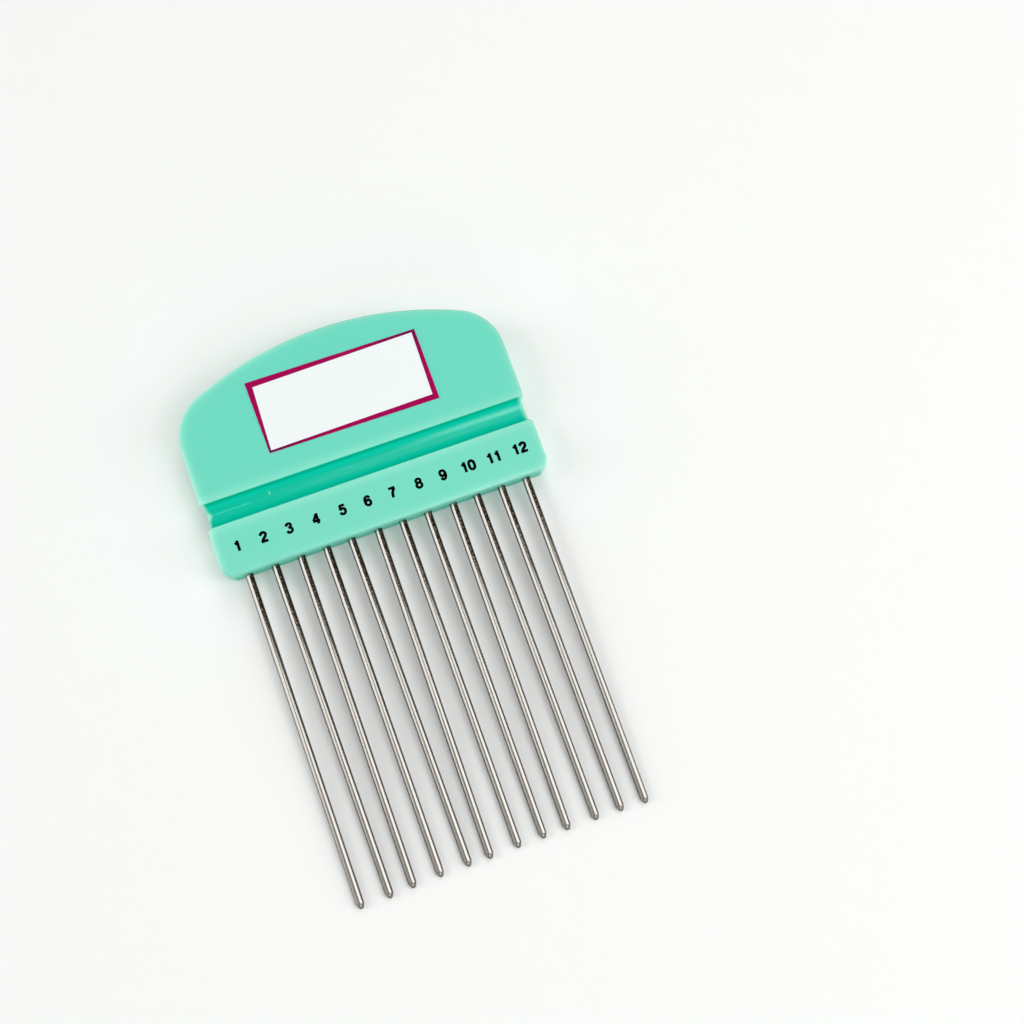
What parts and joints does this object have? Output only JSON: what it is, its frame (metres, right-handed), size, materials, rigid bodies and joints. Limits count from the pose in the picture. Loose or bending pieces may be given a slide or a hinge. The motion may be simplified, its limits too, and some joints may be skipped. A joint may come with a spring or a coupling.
{
  "type": "quilling comb",
  "caption": "Flat comb for looping paper strips: an arched plastic handle with a grip groove, and a row of straight steel pins with numbered places.",
  "frame": {"origin": "middle of the outer box, on the plane of the handle's back", "axes": "+X along the pin row from the first pin to the last, +Y from the pin tips to the arched top, +Z from the back to the numbered front"},
  "size_m": [0.0646, 0.1053, 0.0061],
  "materials": {
    "handle_plastic": "satin moulded mint green",
    "pin_steel": "drawn wire, polished",
    "label_stock": "coated sticker, satin"
  },
  "bodies": {
    "root": {"handle": "handle_plastic", "label": "label_stock", "pin_01": "pin_steel", "pin_02": "pin_steel", "pin_03": "pin_steel", "pin_04": "pin_steel", "pin_05": "pin_steel", "pin_06": "pin_steel", "pin_07": "pin_steel", "pin_08": "pin_steel", "pin_09": "pin_steel", "pin_10": "pin_steel", "pin_11": "pin_steel", "pin_12": "pin_steel"}
  },
  "joints": []
}
